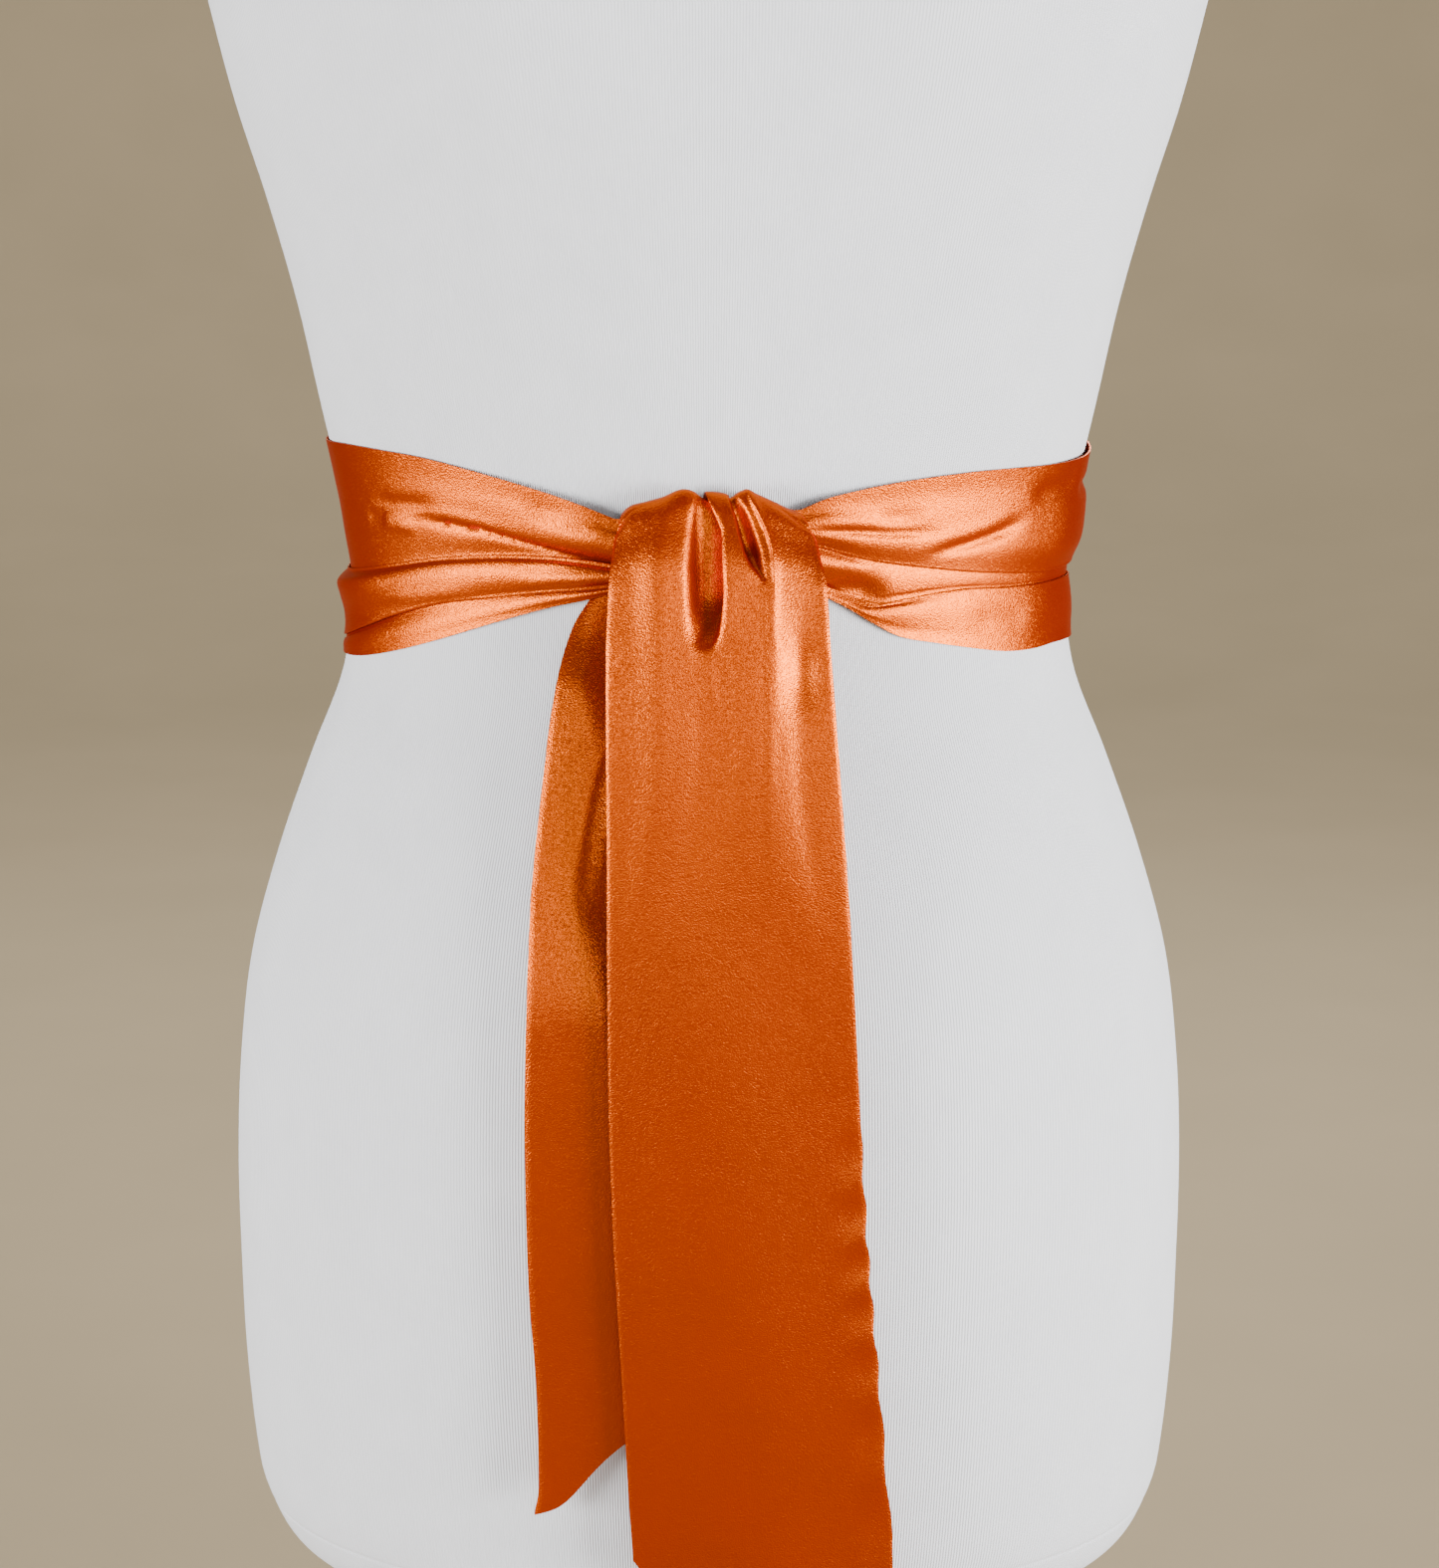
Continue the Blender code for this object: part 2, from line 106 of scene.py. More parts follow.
# The form by height: half its width, and how far its front and its back stand off its axis
FORM = Table("z half front back", (
    (-351, 141, 90, 96),
    (-348, 148, 97, 103),
    (-341, 156, 103, 110),
    (-329, 162, 108, 116),
    (-317, 165.5, 110.5, 118.5),
    (-278, 169, 114, 123),
    (-240, 170, 116.5, 126),
    (-200, 170, 118, 127),
    (-164, 168, 118, 125),
    (-126, 163, 116, 119),
    (-90, 153, 110, 108),
    (-54, 140, 100, 92),
    (-25, 128.5, 92, 80),
    (0, 124.5, 88.5, 75),
    (15, 124, 88, 74),
    (35, 126.5, 89.5, 75),
    (56, 131, 93, 78),
    (70, 134, 96, 80),
    (104, 141, 104, 87),
    (138, 150, 112, 93),
    (171, 160, 119, 97),
    (204, 168, 122, 99),
    (222, 171.8, 121, 99.7),
    (240, 175, 118, 100),
    (260, 178, 113.6, 99.7),
    (280, 180, 108, 99),
    (315, 181, 94, 94),
    (340, 175, 80, 86),
    (360, 155, 66, 76),
    (376, 122, 57, 68),
    (388, 88, 52, 62),
    (400, 66, 49, 57),
    (415, 56, 47, 53),
    (440, 53, 46, 51),
))
BUST_HEIGHT = 232.0
BUST_APART = 74.0
BUST_WIDE = 44.0
BUST_TALL = 55.0
BUST_REACH = 10.0

# The waist loop, from the knot round the viewer's left, the back and the viewer's right.
# A lap is above 0 where the strip above a crease line lies over the strip below it.
LOOP_COLUMNS = (
    "turn bottom low high top low_roll mid_roll top_roll "
    "low_peak mid_peak top_peak lift lap_low lap_high"
)
LOOP = Table(LOOP_COLUMNS, (
    (13, 16.5, 18.8, 25.4, 41.0, 1.2, 2.4, 4.0, .5, .5, .45, 3.0, 1, -.9),
    (18, 13.6, 17.4, 26.8, 45.2, 1.2, 2.8, 3.4, .5, .5, .45, 2.9, 1, -.8),
    (24, 10.4, 15.9, 27.6, 49.1, 1.0, 2.2, 2.2, .5, .5, .45, 2.1, 1, -.6),
    (33, 4.6, 13.0, 27.0, 53.4, 0.8, 1.9, 1.4, .5, .52, .42, 0.9, 1, -.5),
    (45, -3.4, 8.8, 24.2, 57.3, 0.8, 1.9, 1.0, .5, .55, .4, 0.1, 1, -.5),
    (56, -9.6, 3.0, 20.2, 58.4, 0.9, 2.3, 0.9, .5, .6, .4, 0, 1, -.5),
    (67, -14.1, -3.8, 16.4, 58.4, 1.1, 3.4, 0.8, .5, .7, .4, 0, .8, -.5),
    (78, -16.6, -9.2, 13.4, 57.4, 0.9, 3.7, 0.8, .5, .76, .42, 0, .6, -.6),
    (90, -18.0, -13.0, 12.0, 56.6, 0.7, 3.6, 0.9, .5, .78, .45, 0, .4, -.6),
    (120, -21.0, -13.0, 14.5, 58.0, 1.0, 2.8, 2.0, .5, .7, .35, 0, .3, -.4),
    (150, -22.5, -6.5, 20.0, 60.5, 1.4, 2.0, 1.6, .5, .55, .5, 0, -.4, .2),
    (180, -22.5, 0.5, 25.0, 62.0, 1.2, 2.3, 2.2, .5, .5, .35, 0, -.7, .7),
    (210, -21.0, 4.0, 24.0, 61.0, 1.6, 1.8, 2.0, .5, .5, .4, 0, -.3, .9),
    (240, -17.0, 6.5, 19.0, 57.5, 1.2, 1.5, 2.8, .5, .5, .35, 0, -.4, 1),
    (270, -12.5, 9.8, 15.6, 53.8, 1.0, 0.2, 3.2, .55, .5, .36, 0, -.5, 1),
    (281, -11.0, 10.8, 15.2, 52.8, 0.9, 0.2, 3.2, .6, .5, .35, 0, -.5, 1),
    (292, -10.0, 11.4, 15.6, 52.5, 0.8, 0.2, 3.2, .6, .5, .34, 0, -.55, 1),
    (300, -10.0, 11.9, 16.4, 52.6, 0.8, 0.2, 2.2, .6, .5, .32, 0, -.6, 1),
    (308, -9.0, 12.7, 17.9, 53.0, 0.8, 0.2, 1.6, .6, .5, .3, 0, -.6, 1),
    (317, -5.8, 13.9, 20.0, 53.2, 0.8, 0.3, 1.4, .6, .5, .3, 0.1, -.55, 1),
    (324, -2.9, 13.5, 22.0, 52.7, 0.9, 0.4, 1.4, .6, .5, .3, 0.4, -.4, .9),
    (330, 0, 12.4, 24.0, 51.8, 1.1, 0.6, 1.6, .6, .5, .32, 0.8, -.25, .9),
    (335, 5.4, 11.6, 26.0, 50.6, 1.0, 1.0, 1.6, .5, .6, .35, 1.3, -.1, .9),
    (339, 10.6, 13.4, 28.2, 49.2, 0.6, 1.8, 2.0, .5, .65, .38, 1.8, 0, .9),
    (343, 15.0, 17.0, 30.8, 47.4, 0.5, 2.4, 2.4, .5, .5, .4, 2.4, 0, .8),
    (347, 17.5, 19.4, 33.2, 43.9, 0.5, 2.8, 2.8, .5, .5, .45, 2.8, 0, .9),
))
STRIPS = (
    ("bottom", "low", "low_roll", "low_peak"),
    ("low", "high", "mid_roll", "mid_peak"),
    ("high", "top", "top_roll", "top_peak"),
)

# The front tail, from its root behind the knot, up over it and down to its diagonal hem
FRONT_TAIL = Table("step y z left right curl", (
    (0, -89.5, 21, -15, 16, 0),
    (1, -90.3, 34, -18, 19, 0),
    (2, -92.0, 43, -23, 24, 0),
    (3, -95.6, 48.4, -27, 29, 1),
    (4, -101.2, 50, -28.6, 32.5, 2.5),
    (5, -105.4, 47, -29.4, 34.3, 4),
    (6, -108.8, 40.5, -30.2, 35.6, 5),
    (7, -113.0, 30, -31.0, 37.2, 5),
    (8, -115.9, 15, -31.8, 38.6, 4),
    (9, -118.4, 0, -32.3, 39.5, 3),
    (10, -122.7, -30, -32.3, 41.8, 2),
    (11, -125.8, -68, -32.2, 44.7, 1.5),
    (12, -127.6, -108, -32.3, 47.3, 1),
    (13, -128.6, -150, -32.0, 49.6, 1),
    (14, -129.1, -195, -30.7, 52.4, 1),
    (15, -129.1, -240, -28.4, 57.0, 1),
    (16, -128.3, -281, -26.5, 62.5, 1),
    (17, -127.3, -307, -25.0, 67.0, 1),
))
FRONT_CREST_STEP = 4.0
FRONT_LAST_STEP = 17.0
FRONT_HEM_FROM = 14.0
BEHIND_STEPS = 3.0

# The uneven top of the front tail over the knot: rise by place across, fading out along the tail
CREST_AT = 4.3
CREST_REACH = 3.2
CREST = Table("x rise", (
    (-32, -14), (-29, -9.2), (-25, -3.8), (-20, -2.2), (-14, -1.2), (-8, 1.5), (-3, .9), (3, .5),
    (7.5, .1), (11, 1.4), (17.5, -.6), (23, -3.2), (30, -7), (34, -10), (37, -15),
))

# Lines that run down the front tail through its pleats: place across, then how far pushed in, by height
RAIL_HEIGHTS = (-25, 1.5, 8.5, 17.5, 24, 29.5, 34, 39.5, 45, 50)
RAIL_ROWS = (
    ("flat", (-24, -24, -24, -24, -24, -24, -23.6, -23, -22, -21),
     (.2, .2, .3, .3, .4, .4, .4, .4, .3, .2)),
    ("ridge left", (-15.4, -15.6, -16, -16.2, -16.4, -16.4, -16.2, -15.4, -14, -12.4),
     (-.4, -.5, -.6, -.6, -.6, -.6, -.6, -.6, -.6, -.6)),
    ("slope top", (-10.4, -10.4, -10.4, -10.6, -10.8, -10.8, -10.6, -9.8, -8.4, -7),
     (0, .1, .2, .3, .3, .3, .3, .2, .1, -.3)),
    ("slope", (-6, -6, -6.2, -6.6, -6.8, -6.8, -6.6, -6, -5.2, -4.4),
     (.4, .5, 1.1, 1.4, 1.5, 1.5, 1.4, 1.2, .8, .1)),
    ("floor left", (-2.6, -3, -2.2, -2.4, -2.6, -2.8, -2.8, -2.8, -2.8, -2.8),
     (.8, 1.0, 4.2, 7.0, 7.5, 7.4, 6.6, 5.3, 3.4, 1.1)),
    ("floor right", (1.0, -1.2, .2, 1.8, 2.3, 2.4, 2.4, 2.2, .6, -1.2),
     (.8, 1.1, 4.8, 8.3, 9.0, 8.8, 8.0, 6.6, 4.6, 2.2)),
    ("under lip", (3.8, .8, 3.2, 5.8, 6.4, 6.6, 6.6, 6.2, 3.6, .4),
     (.6, .95, 4.2, 9.0, 9.8, 9.6, 8.8, 7.2, 5.0, 2.6)),
    ("lip", (6.2, 2.8, 3.9, 4.8, 4.9, 4.6, 4.5, 4.2, 1.8, -.6),
     (.4, .75, .9, 1.0, 1.0, 1.0, 1.0, .8, .5, .1)),
    ("lip top", (8.6, 5.6, 6.0, 6.5, 6.5, 6.3, 6.2, 5.8, 3.6, 1.0),
     (.1, .35, -.1, -.3, -.3, -.3, -.3, -.3, -.3, -.3)),
    ("middle", (11, 9.4, 9.8, 10, 10.4, 9.8, 8.6, 7.6, 6.0, 3.8),
     (-.2, -.1, -.2, -.2, -.3, -.2, -.1, -.1, -.1, -.2)),
    ("tuck lip", (14.6, 14.6, 14.8, 15.4, 16.8, 13.0, 11.0, 9.4, 8.0, 6.4),
     (-.4, -.3, -.2, -.1, 0, .1, .3, .3, .2, .1)),
    ("tuck under", (16.4, 16.4, 16.6, 16.9, 17.6, 14.2, 12.3, 10.6, 9.0, 7.0),
     (-.4, -.3, -.2, -.1, 0, 3.4, 5.8, 5.2, 3.8, 1.2)),
    ("tuck floor", (18.2, 18.2, 18.2, 18.2, 18.4, 15.8, 14.4, 12.6, 10.6, 8.0),
     (-.4, -.3, -.3, -.25, 0, 3.4, 5.6, 5.0, 3.6, 1.4)),
    ("tuck wall", (19.6, 19.6, 19.6, 19.4, 19.3, 17.8, 17.0, 15.2, 12.6, 9.4),
     (-.6, -.6, -.6, -.6, -.2, 1.0, 1.3, 1.3, 1.1, .6)),
    ("tuck edge", (21, 20.8, 20.8, 20.6, 20.4, 20.0, 19.7, 17.9, 14.9, 11.4),
     (-.5, -.6, -.8, -.8, -.5, 0, .3, .4, .3, 0)),
    ("ridge right", (22.2, 22, 21.8, 21.6, 21.4, 21.0, 20.8, 19.2, 16.4, 13.0),
     (-.3, -.5, -.6, -.7, -.8, -.9, -.9, -.9, -.9, -.8)),
    ("fall right", (25, 24.4, 24.0, 23.6, 23.4, 23.2, 22.9, 21.6, 19.2, 16.2),
     (.1, .2, .3, .3, .4, .3, .3, .2, 0, -.2)),
    ("hollow", (30, 29.6, 29.4, 29.4, 29.2, 29, 28.8, 28, 26.4, 24),
     (.9, 1.1, 1.1, 1.0, .9, .8, .7, .6, .4, .2)),
    ("near edge", (36.4, 35.6, 35.4, 35.2, 34.8, 34.6, 34, 33, 31.6, 30),
     (.4, .4, .4, .4, .4, .4, .4, .4, .4, .4)),
)
RAIL_FADE = 70.0

# How far inside each edge of the front tail its outermost line runs, and how the edges curl in
SELVEDGE = 1.2
SELVEDGE_CURL = 0.86
RIM_CURL = 0.15

# Small forms of the front tail: a dimple, puckers of its lower right edge, and a slow wave
DIMPLE_X = 30.0
DIMPLE_Z = -6.0
DIMPLE_WIDE = 5.0
DIMPLE_TALL = 11.0
DIMPLE_DEEP = 2.0
PUCKER_DEEP = 0.7
PUCKER_OUT = 0.5
PUCKER_OUT_WIDE = 6.0
PUCKER_WIDE = 13.0
PUCKER_FROM = -135.0
PUCKER_GROW = 45.0
PUCKER_LEAN = 0.55
PUCKER_WAVE = 2.9
PUCKER_WANDER = 1.2
PUCKER_WANDER_WAVE = 17.0
WAVE_DEEP = 0.5
WAVE_ACROSS = 11.0
WAVE_ALONG = 90.0
WAVE_FROM = -60.0
WAVE_GROW = 60.0

# The rear tail: its edges and how far it hangs from the form's axis
REAR_TAIL = Table("z left right hang", (
    (-290, -56.6, 18, -121.4),
    (-247, -57.0, 16, -121.6),
    (-211, -59.2, 14, -121.8),
    (-160, -59.9, 10, -121.9),
    (-127, -59.2, 7, -121.6),
    (-116, -58.8, 6, -121.0),
    (-104, -58.4, 4, -118.9),
    (-90, -57.8, 2.6, -115.4),
    (-78, -57.2, 1, -112.4),
    (-46, -53.8, -3, -106),
    (-14, -49.4, -8, -99),
    (5, -43.9, -12, -91),
    (16, -36.8, -17, -88),
    (23, -32, -19, -87),
))
REAR_TOP = 23.0
REAR_TIP = -289.0
REAR_HEM_FROM = -190.0
TIP_SAG = 5.0
TIP_SAG_AT = 8.0
TIP_SAG_WIDE = 10.0
TIP_HOOK = 1.6
TIP_HOOK_TALL = 5.0
TIP_HOOK_WIDE = 7.0

# How the rear tail sinks in beside the front tail, and a roll beside that; both end behind the front tail
REAR_HIDDEN = -22.0
REAR_FADE = 14.0
REAR_ROLL = -0.7
REAR_ROLL_ASIDE = 10.0
REAR_ROLL_WIDE = 7.0
REAR_ROLL_FOOT = -130.0
REAR_ROLL_GROW = 50.0
REAR_SWING = 2.5
REAR_SWING_GROW = 60.0
REAR_CURL = 1.6
REAR_RIM = 0.4
REAR_RIM_WIDE = 1.0
FORM_CLEAR = 0.5
REAR_POCKET = Table("z x depth soft", (
    (-165, -28, 0, 12), (-133, -33.5, 1.2, 12), (-119, -36, 1.6, 12), (-110, -38.5, 1.9, 12),
    (-95, -42, 2.6, 12), (-85, -44.8, 3.8, 13), (-77, -45, 4.8, 13), (-62, -42.2, 5.6, 13),
    (-46, -38.8, 5.6, 13), (-38.6, -36.4, 5.0, 13), (-27, -31.8, 2.6, 12), (-18, -30, 0, 12),
))

# The same higher up, under the left band
REAR_HOLLOW = Table("z x depth soft", (
    (-36, -36, 0, 12), (-26, -39.5, 1.6, 12), (-18, -42.0, 3.0, 14), (-10, -44.5, 3.6, 15),
    (-2, -44.6, 3.0, 15), (6, -42, 2.0, 13), (14, -37, 0.9, 12), (22, -31, 0, 12),
))

# The bound core of the knot
KNOT = Table("x y half_y z half_z", (
    (-26.5, -95, 2.6, 28.5, 9),
    (-24, -96, 4.0, 28.8, 11.5),
    (-14, -97.6, 5.0, 29.4, 14),
    (0, -97.2, 4.6, 30, 14.5),
    (14, -97.6, 4.8, 30.5, 13),
    (25, -96.0, 4.0, 30.5, 10),
    (27.5, -95.2, 2.8, 30, 8),
))


def bell(distance, half):
    return np.exp(-((distance / half) ** 2))


def ease(share):
    """A smooth step from 0 to 1."""
    share = np.clip(share, 0.0, 1.0)
    return share * share * (3 - 2 * share)


def curve_through(points, per):
    """Points on smooth curves through control points; points has the shape (curves, controls, sizes)."""
    lengths = np.linalg.norm(points[:, 1:] - points[:, :-1], axis=2, keepdims=True)
    steps = np.maximum(lengths, LEAST_STEP)
    slopes = np.empty_like(points)
    slopes[:, 1:-1] = (points[:, 2:] - points[:, :-2]) / (steps[:, 1:] + steps[:, :-1])
    slopes[:, 0] = (points[:, 1] - points[:, 0]) / steps[:, 0]
    slopes[:, -1] = (points[:, -1] - points[:, -2]) / steps[:, -1]
    u = (np.arange(per) / per)[None, None, :, None]
    start = points[:, :-1, None]
    rise = points[:, 1:, None] - start
    first = (slopes[:, :-1] * steps)[:, :, None]
    last = (slopes[:, 1:] * steps)[:, :, None]
    curve = cubic(start, rise, first, last, u).reshape(points.shape[0], -1, points.shape[2])
    return np.concatenate([curve, points[:, -1:]], axis=1)


def grid_normals(grid):
    """Unit normals of a grid of points, on the side from which rows run down and columns to the right."""
    down = np.gradient(grid, axis=0)
    across = np.gradient(grid, axis=1)
    normals = np.cross(down, across)
    return normals / np.maximum(np.linalg.norm(normals, axis=2, keepdims=True), LEAST_NORMAL)


def add_object(name, data):
    made = bpy.data.objects.new(name, data)
    bpy.context.scene.collection.objects.link(made)
    return made


def new_piece(name, points, faces, material, uv=None):
    """A smooth-shaded mesh object from points in millimetres, with heights from the waist."""
    mesh = bpy.data.meshes.new(name)
    placed = (np.asarray(points, float) + (0, 0, WAIST_HEIGHT)) * MM
    mesh.from_pydata(placed.tolist(), [], faces)
    mesh.materials.append(material)
    mesh.shade_smooth()
    if uv is not None:
        layer = mesh.uv_layers.new(name="cloth")
        order = np.empty(len(mesh.loops), np.int32)
        mesh.loops.foreach_get("vertex_index", order)
        layer.data.foreach_set("uv", uv[order].ravel())
    piece = add_object(name, mesh)
    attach(piece, "root")
    return piece


def grid_faces(rows, columns, first=0, flip=False):
    faces = []
    for row in range(rows - 1):
        for column in range(columns - 1):
            a = first + row * columns + column
            face = (a, a + columns, a + columns + 1, a + 1)
            faces.append(face[::-1] if flip else face)
    return faces


def tube_faces(rows, columns):
    """The faces of a closed tube of rings, with a flat face at each end."""
    faces = [tuple(reversed(range(columns)))]
    for row in range(rows - 1):
        for i in range(columns):
            j = (i + 1) % columns
            a = row * columns
            faces.append((a + i, a + j, a + columns + j, a + columns + i))
    faces.append(tuple(range((rows - 1) * columns, rows * columns)))
    return faces


def cloth_piece(name, grid, along, material):
    """A thin closed shell whose outer face is the grid; along is the length of cloth, for its yarns."""
    rows, columns = grid.shape[:2]
    inner = grid - grid_normals(grid) * CLOTH
    count = rows * columns
    faces = grid_faces(rows, columns) + grid_faces(rows, columns, count, flip=True)
    top = list(range(columns))
    bottom = [count - columns + i for i in range(columns)]
    left = [row * columns for row in range(rows)]
    right = [row * columns + columns - 1 for row in range(rows)]
    for edge, flip in ((top, False), (bottom, True), (left, True), (right, False)):
        for a, b in zip(edge, edge[1:]):
            face = (a, b, b + count, a + count)
            faces.append(face[::-1] if flip else face)
    widths = np.cumsum(np.linalg.norm(np.diff(grid, axis=1), axis=2), axis=1)
    across = np.concatenate([np.zeros((rows, 1)), widths], axis=1)
    uv = np.stack([across, along + 0 * across], axis=2).reshape(-1, 2) * MM
    points = np.concatenate([grid.reshape(-1, 3), inner.reshape(-1, 3)])
    piece = new_piece(name, points, faces, material, np.concatenate([uv, uv]))
    piece.data.set_sharp_from_angle(angle=math.radians(CLOTH_EDGE_ANGLE))
    return piece


def form_point(turn, z, out):
    """Points outside the form, turned from the front towards the viewer's left."""
    angle = np.radians(turn)
    reach = np.where(np.cos(angle) > 0, FORM.at(z, "front"), FORM.at(z, "back"))
    x = -(FORM.at(z, "half") + out) * np.sin(angle)
    return np.stack([x, -(reach + out) * np.cos(angle), z + 0 * x], axis=-1)


def form_reach(x, z):
    """How far the form's front stands out of its axis at a place across it."""
    across = np.minimum(np.abs(x) / FORM.at(z, "half"), 1.0)
    return FORM.at(z, "front") * np.sqrt(1.0 - across * across)


CREASE_TAPER = 3


def crease(along, z, path, width, depth, sharp):
    """A trough of a given depth, or a ridge where depth is below 0, along a path of places on cloth."""
    places, heights = zip(*sorted(path))
    share = (along - places[0]) / (places[-1] - places[0])
    aside = z - np.interp(along, places, heights)
    taper = ease(CREASE_TAPER * np.minimum(share, 1 - share))
    soft = bell(aside, width)
    return depth * taper * (soft + sharp * (np.exp(-np.abs(aside) / width) - soft))


# Form and stand

FORM_COLUMNS = 240
FORM_ROWS = 200
FORM_EDGE_ANGLE = 50.0
SEAM_GROOVE = 0.5
SEAM_WIDE = 0.7
SEAM_NEAR = 3


def build_form(material):
    """The jersey-covered torso, with the groove of its lower seam."""
    under_seam = SEAM_HEIGHT - SEAM_NEAR
    over_seam = SEAM_HEIGHT + SEAM_NEAR
    heights = np.concatenate([
        np.linspace(FORM_UNDERSIDE, under_seam, 14)[:-1],
        np.linspace(under_seam, over_seam, 13)[:-1],
        np.linspace(over_seam, FORM_TOP, FORM_ROWS),
    ])
    turns = np.linspace(0, -FULL_TURN, FORM_COLUMNS, endpoint=False)
    grid = form_point(turns[None, :], heights[:, None], 0.0)
    beside = bell(np.abs(grid[..., 0]) - BUST_APART, BUST_WIDE)
    bust = BUST_REACH * beside * bell(grid[..., 2] - BUST_HEIGHT, BUST_TALL)
    grid[..., 1] -= np.where(grid[..., 1] < 0, bust, 0)
    squeeze = 1 - SEAM_GROOVE * bell(heights - SEAM_HEIGHT, SEAM_WIDE) / FORM.at(heights, "half")
    grid[..., :2] *= squeeze[:, None, None]
    faces = tube_faces(len(heights), FORM_COLUMNS)
    piece = new_piece("form_jersey", grid.reshape(-1, 3), faces, material)
    piece.data.set_sharp_from_angle(angle=math.radians(FORM_EDGE_ANGLE))
    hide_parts("dress_form")


# The waist loop

STRIP_SHARES = (0.2, 0.38, 0.6, 0.8)

# A tuck in section: layers out, share of the tuck's depth, and a small height beside the crease line
TUCK_SHAPE = (
    (0.05, 0.0, 0.0), (0.05, 0.55, 0.0), (0.25, 1.0, 0.0), (0.8, 1.0, 0.0), (1.0, 0.5, 0.0),
    (1.1, 0.0, 0.15), (1.5, 0.0, -0.5), (2.0, 0.0, -0.2), (2.2, 0.0, 0.8),
)


def strip_bump(share, peak):
    """A rounded crown over a strip, highest at the share given by peak."""
    return np.sin(math.pi * share ** (math.log(0.5) / np.log(peak)))


def lap_points(turn, line, lap_name, base, above, below):
    """Section points through one crease line: a tuck under the strip above or below it."""
    lap = LOOP.at(turn, lap_name)
    size = np.abs(lap)
    over = lap > 0
    room = np.where(over, above, below)
    deep = np.minimum(TUCK_DEEP, TUCK_ROOM * room) * size
    layer = LAYER * size
    points = []
    for i, (out, share, flat) in enumerate(TUCK_SHAPE):
        spread = TUCK_SPREAD * (i - (len(TUCK_SHAPE) - 1) / 2) * (1 - size)
        points.append(np.stack([base + out * layer, share * deep + flat * size + spread], axis=-1))
    points = np.stack(points, axis=1)
    mirrored = points[:, ::-1] * (1, -1)
    chosen = np.where(over[:, None, None], points, mirrored)
    chosen[..., 1] += line[:, None]
    return chosen


def loop_sections(turn):
    """Upright sections of the loop as curves of distance out of the form and height."""
    base = LOOP_CLEAR + LOOP.at(turn, "lift")
    lines = {name: LOOP.at(turn, name) for name in ("bottom", "low", "high", "top")}
    laps = {"low": LOOP.at(turn, "lap_low"), "high": LOOP.at(turn, "lap_high")}
    parts = []
    for low, high, roll, peak in STRIPS:
        height = lines[high] - lines[low]
        start_out = 2 * LAYER * np.clip(laps.get(low, 0 * turn), 0, 1)
        end_out = 2 * LAYER * np.clip(-laps.get(high, 0 * turn), 0, 1)
        edge = EDGE_LIFT * LOOP.at(turn, roll)
        if low == "bottom":
            parts.append(np.stack([base + edge, lines[low]], axis=-1)[:, None])
        for share in STRIP_SHARES:
            near_edge = 0
            if low == "bottom":
                near_edge = ease(1 - 2 * share)
            elif high == "top":
                near_edge = ease(2 * share - 1)
            bump = LOOP.at(turn, roll) * strip_bump(share, LOOP.at(turn, peak))
            bump = np.maximum(bump, edge * near_edge)
            out = base + start_out + (end_out - start_out) * share + bump
            parts.append(np.stack([out, lines[low] + share * height], axis=-1)[:, None])
        if high == "top":
            parts.append(np.stack([base + edge, lines[high]], axis=-1)[:, None])
        else:
            above = lines["top"] - lines[high] if high == "high" else lines["high"] - lines[high]
            parts.append(lap_points(turn, lines[high], "lap_" + high, base, above, height))
    return curve_through(np.concatenate(parts, axis=1), SECTION_STEPS)


# Creases of the loop: turns and heights along each, half width, depth, and how sharp from 0 to 1
LOOP_CREASES = (
    (((54, 36.8), (46, 36.4), (35, 34.9), (28, 31.8), (21, 28.8), (13, 26.6)), 1.1, 1.6, 1),
    (((52, 39.4), (40, 38.2), (28, 34.6)), 2.2, -0.4, 0),
    (((62, 40), (52, 41), (42, 41.6)), 2.4, 1.0, 0),
    (((60, 33.4), (48, 33.2)), 2.0, -0.7, 0),
    (((64, 34.5), (56, 36)), 1.8, 0.8, 0),
    (((30, 21.5), (22, 23.5), (13, 23.5)), 2.2, 0.6, 0),
    (((62, 6), (34, 15)), 2.6, -0.5, 0),
    (((28, 44), (14, 36)), 3.2, 0.6, 0),
    (((348, 37.6), (340, 36.4), (333, 34.8), (322, 34.2)), 1.3, 0.9, 0.4),
    (((347, 40.6), (338, 39.2), (330, 37.2)), 2.4, -0.4, 0),
    (((337, 39), (327, 40.4)), 2.6, 0.5, 0),
    (((328, 26.4), (319, 29), (311, 32.2), (303, 36)), 2.1, 1.4, 0.4),
    (((329, 29.6), (316, 33.4), (307, 38.5)), 3.0, -0.4, 0),
    (((306, 42), (285, 46)), 4.0, 1.0, 0),
    (((288, 41), (262, 42)), 2.6, 1.6, 0),
    (((349, 22), (341, 18), (331, 13.6)), 5.0, 2.3, 0),
    (((318, 3), (300, 1)), 5.0, 0.5, 0),
    (((100, 42), (140, 39)), 4.0, 1.1, 1),
    (((110, 32), (170, 41)), 3.0, 0.9, 0),
    (((150, 10), (200, 14)), 3.0, 1.0, 1),
    (((190, 44), (240, 38)), 4.0, 1.2, 1),
    (((215, -6), (255, -2)), 4.0, 0.7, 0),
    (((205, 30), (262, 30)), 2.4, 0.9, 0),
    (((130, -12), (165, -10)), 3.0, 0.7, 0),
)

# Millimetres along the cloth for each degree of turn, for its yarns and ripples
TURN_LENGTH = 2.1
RIPPLE = 0.12


def ripple(along, z):
    """A faint, uneven ripple: two slanting waves that cross."""
    return RIPPLE * np.sin(along / 9.0 + z / 5.0) * np.sin(along / 23.0 - z / 11.0)


